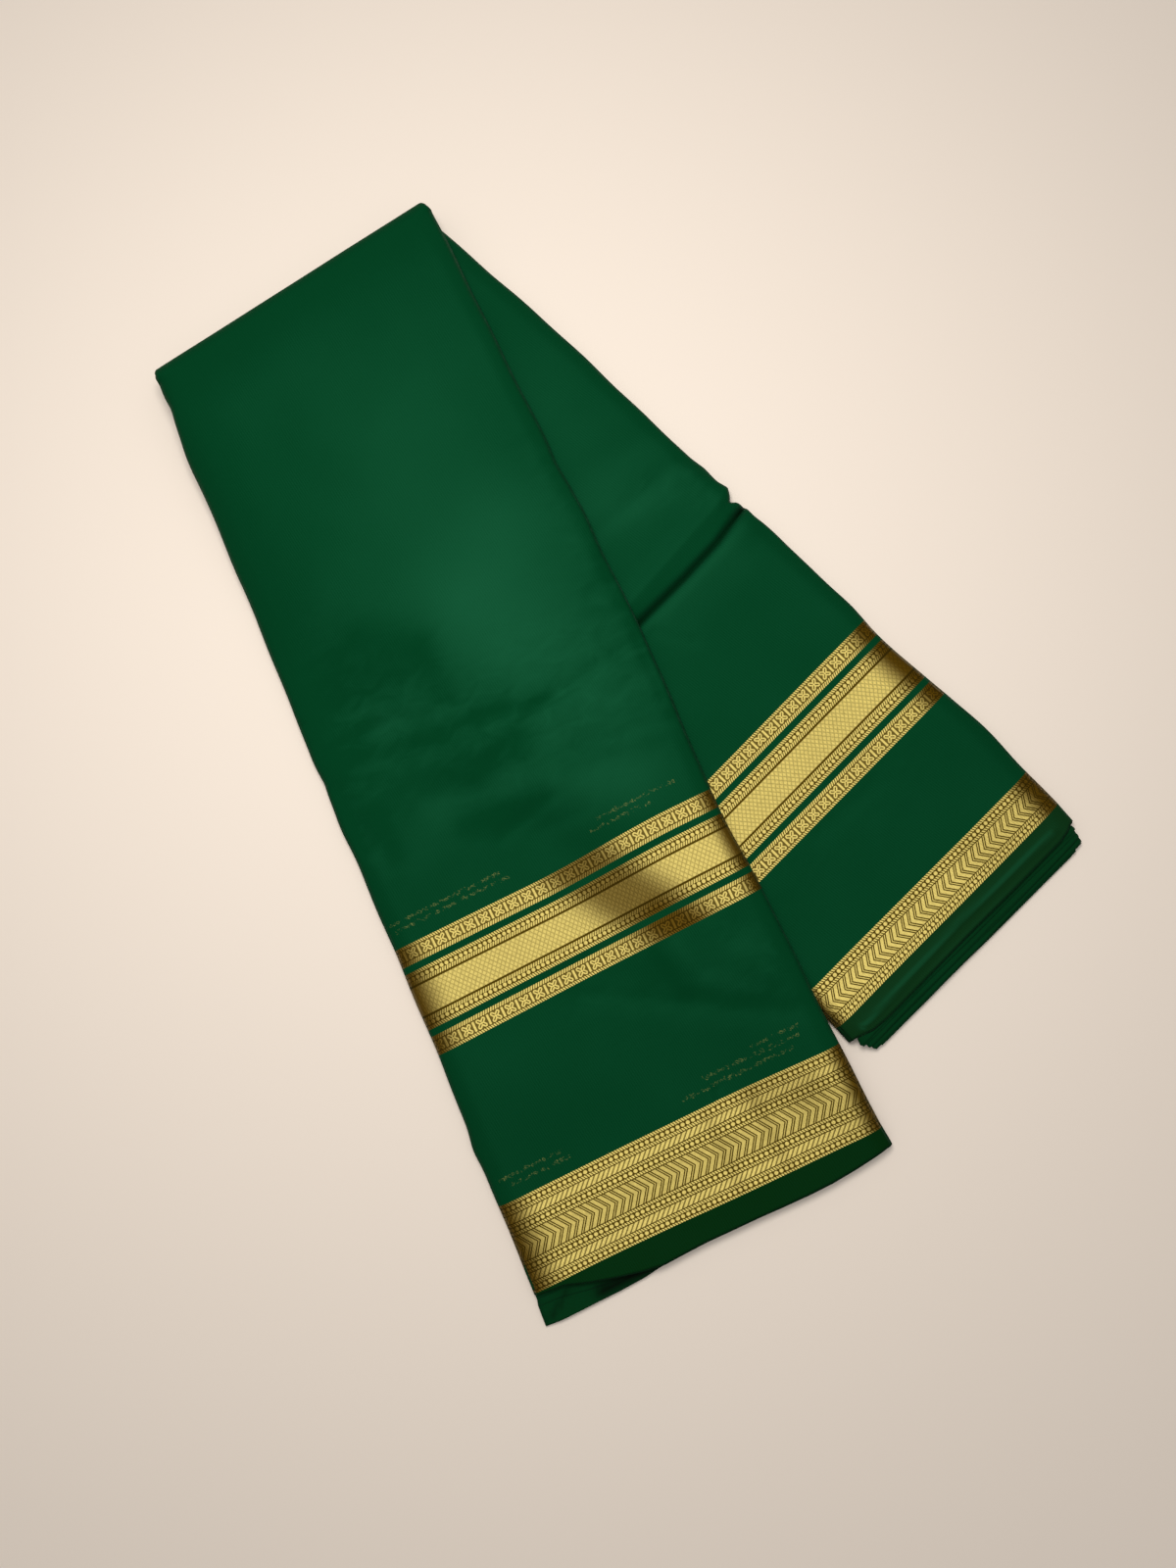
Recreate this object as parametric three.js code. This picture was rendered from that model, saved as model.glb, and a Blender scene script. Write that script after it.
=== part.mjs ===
import * as THREE from 'three';
import { mergeVertices } from 'three/addons/utils/BufferGeometryUtils.js';

// A saree folded into a long narrow pack and turned over once more at a slant, so that the front leg
// lies across the back leg. Millimetres, +Z up. Each leg is drawn from a table of its two long edges.

const FOLD_THICKNESS = 14; // pack height where it turns over
const FRONT_THINNING = 5; // height the front leg has lost at its end
const BACK_THINNING = 3.5; // height the back leg has lost at its end
const FRONT_RUN = 560; // length over which the front leg thins
const BACK_RUN = 500;
const EVEN_RUN = 20; // length beside the fold that keeps the full height
const WALL = 1.8; // outer wrap of cloth, where the pack has its full height
const INNER_GAP = 0.4; // between the outer wrap and the layers inside
const SEAM_GAP = 0.3; // between the two stretches of the wrap, under the turned fold
const LEG_GAP = 0.6; // between the front leg and the back leg
const FOLD_REACH = 0.8; // how far the turned fold bulges, against its half height
const SIDE_ROLL = 4; // how far in the rounded long sides come
const DRAPE_RUN = 70; // length over which the front leg comes down to the table
const COLUMNS = 10; // cells across the pack
const ROLL_ANGLES = [90, 60, 30, 0, -30, -60, -90]; // points round a long side, in degrees
const TURN_ANGLES = [78, 62, 45, 27, 9, -9, -27, -45, -62, -78]; // points round the turned fold

const DEEP_GREEN = 0x0b4a2b;
const INNER_GREEN = 0x0a3a22;

const radians = THREE.MathUtils.degToRad;
const clamp = THREE.MathUtils.clamp;
const mix = THREE.MathUtils.lerp;
const rise = (x) => THREE.MathUtils.smoothstep(x, 0, 1);

// Left and right edge of each leg from the fold to its end. cuts are the sections up to the next row.
const evenly = (count) => Array.from({ length: count }, (_, i) => i / count);
const FRONT_EDGES = [
  { at: 'fold', left: [-266.7, 207.5], right: [-108, 314.5], cuts: evenly(5) },
  { at: 'upper field', left: [-221.4, 97.1], right: [-50.5, 197.5], cuts: evenly(5) },
  { at: 'lower field', left: [-166.9, -30.5], right: [15.2, 63.9], cuts: evenly(4) },
  { at: 'triple band', left: [-126, -122.4], right: [56.1, -33.3], cuts: evenly(3) },
  { at: 'plain gap', left: [-101, -180.9], right: [82.5, -85.8], cuts: evenly(4) },
  { at: 'broad border', left: [-65.3, -265.8], right: [125.9, -173.2], cuts: evenly(3) },
  { at: 'selvedge', left: [-45.5, -312.5], right: [148.6, -217.2], cuts: [0, 0.5, 0.71, 0.86] },
  { at: 'end', left: [-39.6, -327.6], right: [156.5, -230.5], cuts: [0] },
];
const BACK_EDGES = [
  { at: 'fold', left: [-266.7, 207.5], right: [-108, 314.5], cuts: evenly(9) },
  { at: 'above crease', left: [-56.6, 8.1], right: [61.5, 154.5], cuts: [0] },
  { at: 'puffed lip', left: [-52.2, 3.9], right: [66.4, 150], cuts: [0] },
  { at: 'lip foot', left: [-50, 1.8], right: [68.9, 146.4], cuts: [0] },
  { at: 'crease', left: [-47.9, -0.2], right: [68.4, 143.3], cuts: [0] },
  { at: 'low foot', left: [-45.7, -2.2], right: [73, 140.6], cuts: [0] },
  { at: 'low lip', left: [-43.5, -4.3], right: [75.6, 138.2], cuts: [0] },
  { at: 'below crease', left: [-39.2, -8.5], right: [80, 133.8], cuts: evenly(4) },
  { at: 'triple band', left: [16.9, -61.8], right: [147.4, 69.9], cuts: evenly(3) },
  { at: 'plain gap', left: [60.8, -103.5], right: [192.4, 27.7], cuts: evenly(3) },
  { at: 'narrow border', left: [106.8, -147.1], right: [237.7, -18.3], cuts: evenly(2) },
  { at: 'selvedge', left: [124.6, -164], right: [255.3, -35.7], cuts: [0] },
  { at: 'top layer end', left: [134, -175], right: [265, -46.5], cuts: [0, 0.48, 0.83] },
  { at: 'end', left: [146, -181], right: [271.6, -60.5], cuts: [0] },
];

// Soft troughs (negative) and ridges (positive) in each leg's upper face: a line, a height, a half width.
const BACK_FURROWS = [
  { what: 'crease', from: [20, 76], to: [75, 139], height: -5, width: 3.4 },
  { what: 'lip above it', from: [16, 90], to: [66, 147], height: 2.4, width: 6 },
  { what: 'lip below it', from: [32, 76], to: [82, 131], height: 0.9, width: 7 },
  { what: 'dip near the fold', from: [-28, 150], to: [22, 184], height: -0.8, width: 12 },
];
const FRONT_FURROWS = [
  { what: 'trough through the triple band', from: [-52, -50], to: [64, -112], height: -1.7, width: 15 },
  { what: 'ridge above that trough', from: [-30, -24], to: [58, -62], height: 1.2, width: 16 },
  { what: 'swell across the middle', from: [-150, 62], to: [-12, 122], height: 1.3, width: 34 },
  { what: 'hollow on the left', from: [-166, 16], to: [-112, 34], height: -1.3, width: 14 },
  { what: 'hollow in the middle', from: [-92, 18], to: [-46, 4], height: -1.2, width: 13 },
  { what: 'ridge below the hollows', from: [-128, -22], to: [0, 24], height: 0.9, width: 14 },
  { what: 'hollow above the broad border', from: [-18, -136], to: [82, -150], height: -1.3, width: 14 },
  { what: 'swell at the lower left', from: [-62, -196], to: [-10, -190], height: 0.9, width: 24 },
];

const FOLD_LEFT = FRONT_EDGES[0].left;
const FOLD_RIGHT = FRONT_EDGES[0].right;
const BACK_END = BACK_EDGES.at(-1);

/** Unit vector from one table point to another. */
function heading(from, to) {
  return new THREE.Vector2(to[0] - from[0], to[1] - from[1]).normalize();
}

const foldLine = heading(FOLD_LEFT, FOLD_RIGHT);
const foldOut = new THREE.Vector2(-foldLine.y, foldLine.x);
const backSide = heading(FOLD_LEFT, BACK_END.left);
const backEndLine = heading(BACK_END.left, BACK_END.right);

const middleOf = (row) => [mix(row.left[0], row.right[0], 0.5), mix(row.left[1], row.right[1], 0.5)];
const foldMiddle = middleOf(FRONT_EDGES[0]);
const frontAxis = heading(foldMiddle, middleOf(FRONT_EDGES.at(-1)));
const backAxis = heading(foldMiddle, middleOf(BACK_END));

/** Height at (x, y) of every furrow in a table, each fading away from its line. */
function furrowed(table, x, y) {
  let height = 0;
  for (const furrow of table) {
    const [ax, ay] = furrow.from;
    const spanX = furrow.to[0] - ax;
    const spanY = furrow.to[1] - ay;
    const along = clamp(((x - ax) * spanX + (y - ay) * spanY) / (spanX * spanX + spanY * spanY), 0, 1);
    const away = Math.hypot(x - ax - along * spanX, y - ay - along * spanY);
    height += furrow.height * Math.exp(-((away / furrow.width) ** 2));
  }
  return height;
}

/** Height of a leg that thins from the fold to its end. */
function thinned(axis, run, loss, x, y) {
  const along = (x - foldMiddle[0]) * axis.x + (y - foldMiddle[1]) * axis.y;
  return FOLD_THICKNESS - loss * clamp((along - EVEN_RUN) / run, 0, 1);
}

/** Underside of the front leg: on the back leg, and coming down to the table beyond it. */
function frontBase(x, y) {
  const beyondSide = (x - FOLD_LEFT[0]) * backSide.y - (y - FOLD_LEFT[1]) * backSide.x;
  const beyondEnd = (x - BACK_END.left[0]) * backEndLine.y - (y - BACK_END.left[1]) * backEndLine.x;
  const beyond = Math.hypot(Math.max(0, beyondSide), Math.max(0, beyondEnd));
  const held = thinned(backAxis, BACK_RUN, BACK_THINNING, x, y) + LEG_GAP;
  return held * (1 - rise(beyond / DRAPE_RUN));
}

/** Every section of a leg from the fold to its end, cut between the rows of its table. */
function sectionsOf(leg, edges) {
  const sections = [];
  edges.forEach((row, index) => {
    const next = edges[Math.min(index + 1, edges.length - 1)];
    for (const cut of row.cuts) {
      const left = [mix(row.left[0], next.left[0], cut), mix(row.left[1], next.left[1], cut)];
      const right = [mix(row.right[0], next.right[0], cut), mix(row.right[1], next.right[1], cut)];
      sections.push({ leg, left, right });
    }
  });
  return sections;
}

/** Point of the pack: side runs from -1 at the left edge to 1, depth from 0 inside the fold to 1. */
function packPoint(section, side, depth) {
  const share = (1 + side) / 2;
  const x = mix(section.left[0], section.right[0], share);
  const y = mix(section.left[1], section.right[1], share);
  if (section.leg === 'turn') {
    const radius = LEG_GAP / 2 + depth * FOLD_THICKNESS;
    const reach = FOLD_REACH * radius * Math.cos(section.angle);
    const height = FOLD_THICKNESS + LEG_GAP / 2 + radius * Math.sin(section.angle);
    return new THREE.Vector3(x + reach * foldOut.x, y + reach * foldOut.y, height);
  }
  if (section.leg === 'front') {
    const height = thinned(frontAxis, FRONT_RUN, FRONT_THINNING, x, y) + furrowed(FRONT_FURROWS, x, y);
    return new THREE.Vector3(x, y, frontBase(x, y) + depth * height);
  }
  const height = thinned(backAxis, BACK_RUN, BACK_THINNING, x, y) + furrowed(BACK_FURROWS, x, y);
  return new THREE.Vector3(x, y, (1 - depth) * height);
}

/** Side and depth on a rounded section set in by a distance, at an angle on one of its long sides. */
function rollPoint(section, hand, angle, inset) {
  const half = Math.hypot(section.right[0] - section.left[0], section.right[1] - section.left[1]) / 2;
  const side = (half - SIDE_ROLL + (SIDE_ROLL - inset) * Math.cos(radians(angle))) / half;
  const depth = 0.5 + (0.5 - inset / FOLD_THICKNESS) * Math.sin(radians(angle));
  return { side: hand * side, depth };
}

/** The closed loop of a section: over the outside left to right, down, back under, and up. */
function loopPoint(section, index, inset) {
  const rolls = ROLL_ANGLES.length - 1;
  const upper = COLUMNS;
  const rightRoll = upper + rolls;
  const lower = rightRoll + COLUMNS;
  const flat = rollPoint(section, 1, 90, inset);
  if (index < upper) {
    return packPoint(section, mix(-flat.side, flat.side, index / COLUMNS), flat.depth);
  }
  if (index < rightRoll) {
    const at = rollPoint(section, 1, ROLL_ANGLES[index - upper], inset);
    return packPoint(section, at.side, at.depth);
  }
  if (index < lower) {
    return packPoint(section, mix(flat.side, -flat.side, (index - rightRoll) / COLUMNS), 1 - flat.depth);
  }
  const at = rollPoint(section, -1, ROLL_ANGLES[rolls - (index - lower)], inset);
  return packPoint(section, at.side, at.depth);
}

/** Six times the volume enclosed by a list of triangle corners. */
function enclosed(corners) {
  let sum = 0;
  for (let i = 0; i < corners.length; i += 3) {
    sum += corners[i].dot(corners[i + 1].clone().cross(corners[i + 2]));
  }
  return sum;
}

// Four-sided faces are split along the diagonal lying nearer this way, so nested skins split alike.
const SPLIT_ALONG = new THREE.Vector3(1, -0.3, 0.7);

/** Mesh of the outside of a grid's filled cells. Cells run along, across and deep. */
function solidOf(name, colour, grid) {
  const corners = [];
  const isFilled = (i, j, k) => {
    const column = grid.loops ? (j + grid.across) % grid.across : j;
    const inside = i >= 0 && i < grid.along && k >= 0 && k < grid.deep;
    return inside && column >= 0 && column < grid.across && grid.filled(i, column, k);
  };
  const corner = (i, j, k) => grid.point(i, grid.loops ? j % grid.across : j, k);
  const face = (a, b, c, d) => {
    const first = Math.abs(c.clone().sub(a).dot(SPLIT_ALONG));
    const second = Math.abs(d.clone().sub(b).dot(SPLIT_ALONG));
    corners.push(...(first >= second ? [a, b, c, a, c, d] : [a, b, d, b, c, d]));
  };
  for (let i = 0; i < grid.along; i += 1) {
    for (let j = 0; j < grid.across; j += 1) {
      for (let k = 0; k < grid.deep; k += 1) {
        if (!isFilled(i, j, k)) continue;
        const at = (di, dj, dk) => corner(i + di, j + dj, k + dk);
        if (!isFilled(i - 1, j, k)) face(at(0, 0, 0), at(0, 0, 1), at(0, 1, 1), at(0, 1, 0));
        if (!isFilled(i + 1, j, k)) face(at(1, 0, 0), at(1, 1, 0), at(1, 1, 1), at(1, 0, 1));
        if (!isFilled(i, j - 1, k)) face(at(0, 0, 0), at(1, 0, 0), at(1, 0, 1), at(0, 0, 1));
        if (!isFilled(i, j + 1, k)) face(at(0, 1, 0), at(0, 1, 1), at(1, 1, 1), at(1, 1, 0));
        if (!isFilled(i, j, k - 1)) face(at(0, 0, 0), at(0, 1, 0), at(1, 1, 0), at(1, 0, 0));
        if (!isFilled(i, j, k + 1)) face(at(0, 0, 1), at(1, 0, 1), at(1, 1, 1), at(0, 1, 1));
      }
    }
  }
  if (enclosed(corners) < 0) corners.reverse();
  let geometry = new THREE.BufferGeometry().setFromPoints(corners);
  geometry = mergeVertices(geometry);
  geometry.computeVertexNormals();
  const mesh = new THREE.Mesh(geometry, new THREE.MeshStandardMaterial({ color: colour, roughness: 0.8 }));
  mesh.name = name;
  return mesh;
}

/** The outer wrap over a run of sections. firstCell gives the section at which each strip begins. */
function wrapOf(name, sections, firstCell) {
  const around = 2 * (COLUMNS + ROLL_ANGLES.length - 1);
  return solidOf(name, DEEP_GREEN, {
    along: sections.length - 1,
    across: around,
    deep: 1,
    loops: true,
    filled: (i, j) => i >= firstCell(j),
    point: (i, j, k) => loopPoint(sections[i], j, k === 0 ? WALL : 0),
  });
}

/** The layers inside: one solid, whose rows of layers begin and end at different sections. */
function layersOf(name, sections, firstCell, lastCell) {
  const inset = WALL + INNER_GAP;
  return solidOf(name, INNER_GREEN, {
    along: sections.length - 1,
    across: COLUMNS,
    deep: ROLL_ANGLES.length - 1,
    loops: false,
    filled: (i, j, k) => i >= firstCell[k] && i < sections.length - 1 - lastCell[k],
    point: (i, j, k) => {
      const at = rollPoint(sections[i], 1, ROLL_ANGLES[k], inset);
      return packPoint(sections[i], mix(-at.side, at.side, j / COLUMNS), at.depth);
    },
  });
}

/** For each strip round the wrap, the step of its own end: outside, along the side, and inside. */
function steppedEnd(outside, side, inside) {
  return [
    ...Array(COLUMNS).fill(outside),
    ...side,
    ...Array(COLUMNS).fill(inside),
    ...side.toReversed(),
  ];
}

/** A section moved a seam's gap down the back leg, away from the fold. */
function pastSeam(section) {
  const shift = (point) => [point[0] + SEAM_GAP * backAxis.x, point[1] + SEAM_GAP * backAxis.y];
  return { leg: section.leg, left: shift(section.left), right: shift(section.right) };
}

const frontSections = sectionsOf('front', FRONT_EDGES).reverse();
const backSections = sectionsOf('back', BACK_EDGES);
const turnSections = TURN_ANGLES.map((angle) => ({
  leg: 'turn', left: FOLD_LEFT, right: FOLD_RIGHT, angle: radians(angle),
}));

// Steps are counted in sections back from an end; the outside of each leg comes first in every list.
const FRONT_WRAP_STEPS = steppedEnd(0, [0, 1, 1, 2, 2, 1], 1);
const BACK_WRAP_STEPS = steppedEnd(0, [0, 1, 1, 2, 3, 3], 3);
const FRONT_LAYER_STEPS = [1, 2, 3, 2, 3, 2];
const BACK_LAYER_STEPS = [0, 1, 1, 2, 2, 3];

const saree = new THREE.Group();
saree.name = 'saree';
const outerSections = [...frontSections, ...turnSections, backSections[0]];
const innerSections = [...frontSections, ...turnSections, ...backSections];
const backFromEnd = [pastSeam(backSections[0]), ...backSections.slice(1)].reverse();
saree.add(
  wrapOf('front_stretch', outerSections, (j) => FRONT_WRAP_STEPS[j]),
  wrapOf('back_stretch', backFromEnd, (j) => BACK_WRAP_STEPS[j]),
  layersOf('inner_layers', innerSections, FRONT_LAYER_STEPS, BACK_LAYER_STEPS),
);

// The origin is the middle of the underside of the whole saree.
const bounds = new THREE.Box3().setFromObject(saree);
const middle = bounds.getCenter(new THREE.Vector3());
for (const mesh of saree.children) {
  mesh.geometry.translate(-middle.x, -middle.y, -bounds.min.z);
}

export default saree;
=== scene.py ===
import functools
import math
import operator

import bpy
import numpy as np
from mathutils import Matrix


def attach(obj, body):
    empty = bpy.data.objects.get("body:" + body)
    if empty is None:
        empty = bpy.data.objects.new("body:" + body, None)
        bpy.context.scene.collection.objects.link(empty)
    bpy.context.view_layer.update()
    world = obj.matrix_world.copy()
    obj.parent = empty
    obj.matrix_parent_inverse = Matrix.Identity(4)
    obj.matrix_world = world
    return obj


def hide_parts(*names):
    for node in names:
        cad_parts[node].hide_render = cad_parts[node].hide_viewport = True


# A saree folded lengthwise into a narrow pack, then turned over once at a slant so that the front leg
# lies across the back leg. Its outer layer is a thin shell over the folded layers inside.
# Shapes are worked out in millimetres on the table's plane and made in metres.

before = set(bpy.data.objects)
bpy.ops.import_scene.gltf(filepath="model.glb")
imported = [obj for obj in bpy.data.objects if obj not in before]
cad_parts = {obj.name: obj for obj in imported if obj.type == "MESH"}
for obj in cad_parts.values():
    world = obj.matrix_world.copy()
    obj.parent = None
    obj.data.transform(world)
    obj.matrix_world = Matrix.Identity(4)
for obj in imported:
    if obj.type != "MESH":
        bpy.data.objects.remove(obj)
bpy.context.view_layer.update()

MM = 0.001
SHIFT = np.array([0.27, 2.29, 0.0])  # from the edge tables' zero to the middle of the whole saree

# The camera looks down at the table, tilted a little from straight above.
PHOTO_HEIGHT = 1600  # pixels
FOCAL_PIXELS = 1201
SENSOR = 36.0  # millimetres along the photo's long side
ELEVATION = math.radians(84.5)
CAMERA_DISTANCE = 689.4
LOOK_AT = np.array([-15.49, -22.35, 0.0])

# The pack.
FOLD_THICKNESS = 14.0  # where it turns over
FRONT_THINNING, FRONT_RUN = 5.0, 560.0  # height that a leg loses, and the length over which it does
BACK_THINNING, BACK_RUN = 3.5, 500.0
EVEN_RUN = 20.0  # length beside the fold that keeps the full height
LEG_GAP = 0.6  # between the front leg and the back leg
FOLD_REACH = 0.8  # how far the turned fold bulges, against its half height
SIDE_ROLL = 4.0  # how far in the rounded long sides come
DRAPE_RUN = 70.0  # length over which the front leg comes down to the table
EDGE_DROOP, EDGE_DROOP_WIDTH = 3.0, 11.0  # the top sinks a little towards its long sides
END_BLEND = 32.0  # length over which a slanted end is evened out
EDGE_INSET = 0.45  # thickness shown by the turned-in end of the outer layer
FOLD_SHORT = 0.5  # how far the back leg's outer layer stops short of the fold
HIDDEN_FRONT_TRIM, HIDDEN_BACK_TRIM = 3.0, 1.5  # what the ends on the unseen sides stop short by
HIDDEN_ANGLE = 60  # degrees up or down a long side, beyond which it is an unseen side
FLAT_HALF = 95.0  # from the middle of a leg to where its long side turns down

# The layers inside.
LAYER_INSET = 2.2  # from the outside to the layers inside
LAYER_THICKNESS = 0.35
LAYER_DEPTH = 46.0  # how far a loose layer end is drawn back into the pack
LAYER_TUCK = 6.0  # length over which it comes in to its depth
LAYER_LIFT, LAYER_LIFT_RUN = 0.25, 18.0  # height of the waves in its end, and how soon they fade
CORE_LOW = 2.2  # the hollow under the crease stays this far above the table
CORE_FRONT, CORE_BACK = 26.0, 18.0  # from the ends of the legs to those of the rounded solid

# Rows and columns of the meshes, and the steps between them.
TOP_COLUMNS, SIDE_COLUMNS, UNDER_COLUMNS = 104, 18, 56
CORE_COLUMNS = (24, 8, 24)
LAYER_COLUMNS = 72
ROW_STEP = 2.0
CREASE_ROWS = (252.0, 278.0)  # the back leg's distances with closer rows
TURN_STEP = 6  # degrees round the turned fold
CORE_STEP, CORE_TURN_STEP = 8.0, 15.0
LAYER_STEP = 4.0
TURNED_IN = 5  # rows turned in at an open end

# The studio, in metres.
TABLE_HALF, TABLE_DROP = 3.0, 0.0002  # the table's top is a little under the cloth
TABLE_COLOUR, TABLE_ROUGHNESS = (0.78, 0.712, 0.65, 1.0), 0.42
SKY_COLOUR, LAMP_COLOUR = (1.0, 0.955, 0.90, 1.0), (1.0, 0.94, 0.86)
SKY_LOW, SKY_TOP = 0.12, 1.08  # strength low down and overhead
SKY_FADE_FROM, SKY_FADE_TO = 0.25, 1.0  # height of the direction, from 0 level to 1 overhead
LAMP_AT, LAMP_SIZE, LAMP_POWER = (-0.09, 0.15, 0.74), 0.32, 4.5

# Left and right edge of each leg, from the fold to its end.
FRONT_EDGES = [
    ("fold", (-266.7, 207.5), (-108.0, 314.5)),
    ("upper field", (-221.4, 97.1), (-50.5, 197.5)),
    ("lower field", (-166.9, -30.5), (15.2, 63.9)),
    ("triple band", (-126.0, -122.4), (56.1, -33.3)),
    ("plain gap", (-101.0, -180.9), (82.5, -85.8)),
    ("broad border", (-65.3, -265.8), (125.9, -173.2)),
    ("selvedge", (-45.5, -312.5), (148.6, -217.2)),
    ("end", (-39.6, -327.6), (156.5, -230.5)),
    ("past the end", (-36.6, -335.2), (160.5, -237.2)),
]
BACK_EDGES = [
    ("fold", (-266.7, 207.5), (-108.0, 314.5)),
    ("above crease", (-56.6, 8.1), (61.5, 154.5)),
    ("puffed lip", (-52.2, 3.9), (66.4, 150.0)),
    ("crease", (-47.9, -0.2), (68.4, 143.3)),
    ("low lip", (-43.5, -4.3), (75.6, 138.2)),
    ("below crease", (-39.2, -8.5), (80.0, 133.8)),
    ("triple band", (16.9, -61.8), (147.4, 69.9)),
    ("plain gap", (60.8, -103.5), (192.4, 27.7)),
    ("narrow border", (106.8, -147.1), (237.7, -18.3)),
    ("selvedge", (124.6, -164.0), (255.3, -35.7)),
    ("top layer end", (134.0, -175.0), (265.0, -46.5)),
    ("end", (146.0, -181.0), (271.6, -60.5)),
]
FRONT_STRIPE = np.array([0.8955, 0.445])  # the way the woven bands run
BACK_STRIPE = np.array([0.709, 0.705])

# Soft troughs (negative) and ridges (positive): the points of a line, height, half width.
FRONT_FURROWS = [
    ("trough through the triple band", (-52, -50), (64, -112), -1.7, 15),
    ("ridge above that trough", (-30, -24), (58, -62), 1.2, 16),
    ("swell across the middle", (-150, 62), (-12, 122), 1.3, 34),
    ("hollow on the left", (-166, 16), (-112, 34), -1.3, 14),
    ("hollow in the middle", (-92, 18), (-46, 4), -1.2, 13),
    ("ridge below the hollows", (-128, -22), (0, 24), 0.9, 14),
    ("hollow above the broad border", (-18, -136), (82, -150), -1.3, 14),
    ("swell at the lower left", (-62, -196), (-10, -190), 0.9, 24),
    ("wrinkle at the left edge", (-166, -8), (-138, 8), -0.9, 4.5),
    ("its tail", (-138, 8), (-112, 14), -0.55, 5),
    ("wrinkle in the middle", (-96, 2), (-60, 18), -0.6, 7),
    ("pinch below it", (-74, -14), (-50, 4), -0.8, 6.5),
    ("long wrinkle to the right", (-52, 12), (12, 58), -0.6, 4),
    ("ridge beside it", (-40, 8), (18, 48), 0.45, 7),
    ("line along the right edge", (12, 56), (26, 22), -0.6, 3),
    ("line above the triple band", (-28, -8), (46, 16), -0.4, 4.5),
    ("pinch above the triple band", (-66, -56), (-38, -34), -0.8, 5),
    ("fan of that pinch", (-48, -54), (-18, -40), -0.5, 6),
    ("dent on the left edge", (-158, -30), (-142, -62), -1.4, 6),
    ("ridge beside the dent", (-140, -40), (-128, -78), 0.6, 7),
    ("dent at the right edge", (-8, 104), (-2, 92), -1.0, 4),
    ("small wrinkle at the right edge", (-14, 84), (4, 74), -0.5, 3.5),
    ("fold out of the triple band", (34, -104), (50, -130), -0.9, 5),
    ("ridge out of the triple band", (48, -104), (84, -132), 0.9, 7),
    ("line above the broad border", (-20, -146), (40, -150), -0.7, 5),
    ("line on to the right edge", (40, -150), (112, -152), -0.6, 7),
    ("pinch across the broad border", (56, -198), (63, -214), -0.8, 2.4),
    ("pinch lower in the border", (66, -228), (72, -240), -0.6, 2.4),
    ("fold at the corner of the lower layers", (-31, -309), (-38, -324), -1.5, 1.8),
    ("rolled corner beside it", (-43, -313), (-41, -322), 1.8, 4.5),
]
BACK_FURROWS = [
    ("crease", (12, 67), (41, 96), (60, 117), (78, 142), -3.4, 2.9),
    ("bottom of the crease", (12, 67), (41, 96), (60, 117), (78, 142), -3.0, 1.5),
    ("lip above it", (8, 80), (66, 147), 2.0, 6),
    ("lip below it", (32, 76), (82, 131), 0.9, 7),
    ("dip near the fold", (-28, 150), (22, 184), -0.8, 12),
    ("soft line above the lip", (-18, 118), (38, 166), -0.8, 6),
    ("puff at the right edge", (36, 160), (58, 152), 0.9, 8),
    ("dent in the puff", (46, 172), (54, 160), -0.7, 4),
    ("wrinkle beside the front leg", (22, 64), (44, 58), -0.4, 4),
    ("faint line in the gap", (118, -52), (150, -24), -0.3, 5),
    ("soft fold near the end", (139, -164), (196, -104), (252, -52), 1.1, 2.6),
    ("dip beyond that fold", (143, -168), (199, -108), (256, -56), -0.8, 2.2),
]
CORE_FURROWS = [("hollow under the crease", (12, 67), (41, 96), (78, 142), -4.5, 9)]
UNDER_FURROWS = [
    ("dent under the back leg", (-40, 60), (30, 120), 0.8, 8),
    ("dent near the triple band", (60, -40), (120, 10), 0.6, 7),
    ("dent near the fold", (-170, 190), (-90, 240), 0.7, 10),
    ("dent near the end", (130, -120), (190, -80), 0.5, 6),
]

# Painted light and shade in the plain cloth: cloudy lighter places, and darker ones in troughs, along the
# fold and the left edge and in the crease: the points of a line, strength, half width.
FRONT_PAINTED_SHADING = [
    ("light down the upper field", (-120, 176), (-86, 90), 0.2, 56),
    ("lightest place", (-84, 72), (-66, 52), 0.36, 32),
    ("light to the right edge", (-60, 120), (0, 6), 0.24, 34),
    ("light above the triple band", (-49, -21), (8, -24), 0.22, 20),
    ("light left of it", (-133, 2), (-92, 20), 0.16, 14),
    ("light ridge below the hollows", (-104, -40), (-60, -24), 0.16, 9),
    ("light along the long wrinkle", (-34, 4), (28, 34), 0.16, 9),
    ("dark patch", (-148, 56), (-112, 56), -0.17, 14),
    ("dark patch reaching down", (-110, 50), (-97, 24), -0.2, 10),
    ("dark trough", (-164, -15), (-80, 10), -0.19, 6),
    ("end of the trough", (-78, 12), (-40, 23), -0.24, 5),
    ("dark spot", (-80, -20), (-52, -6), -0.22, 10),
    ("dark above the triple band", (-86, -50), (-42, -34), -0.22, 8),
    ("dark beside the left edge", (-143, -42), (-127, -66), -0.22, 8),
    ("dark under the long wrinkle", (-30, -16), (26, 0), -0.14, 6),
    ("dark along the fold", (-262, 212), (-110, 312), -0.16, 22),
    ("dark along the left edge", (-256, 190), (-168, -10), -0.16, 24),
    ("light at the lower left", (-124, -68), (-92, -50), 0.14, 15),
    ("curved fold below the triple band", (22, -122), (38, -144), (66, -150), (98, -150), -0.14, 4.5),
    ("light beside it", (34, -116), (50, -136), (80, -141), 0.12, 5),
]
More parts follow.
